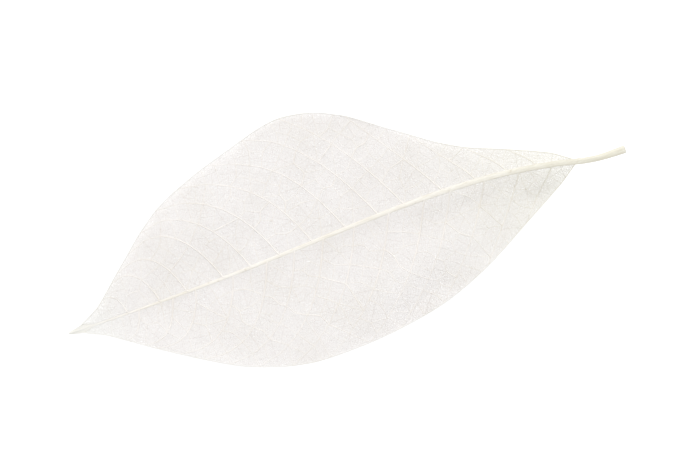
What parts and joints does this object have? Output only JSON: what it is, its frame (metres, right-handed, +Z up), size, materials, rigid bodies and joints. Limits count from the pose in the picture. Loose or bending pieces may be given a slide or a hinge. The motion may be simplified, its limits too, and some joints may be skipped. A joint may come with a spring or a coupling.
{
  "type": "skeleton leaf",
  "caption": "Dried skeleton leaf: a pointed oval net of veins with a raised midrib and a short cut stalk, lying flat.",
  "frame": {"origin": "on the small flat spot under the midrib, two thirds of the way along the blade: one of the three low spots that the leaf rests on", "axes": "+X along the midrib from the stalk to the tip, +Z up, out of the veined underside of the leaf, +Y across the blade"},
  "size_m": [0.0965, 0.0403, 0.006],
  "materials": {
    "bleached_vein": "matt bleached vein, ivory white"
  },
  "bodies": {
    "root": {"skeleton_leaf": "bleached_vein"}
  },
  "joints": []
}
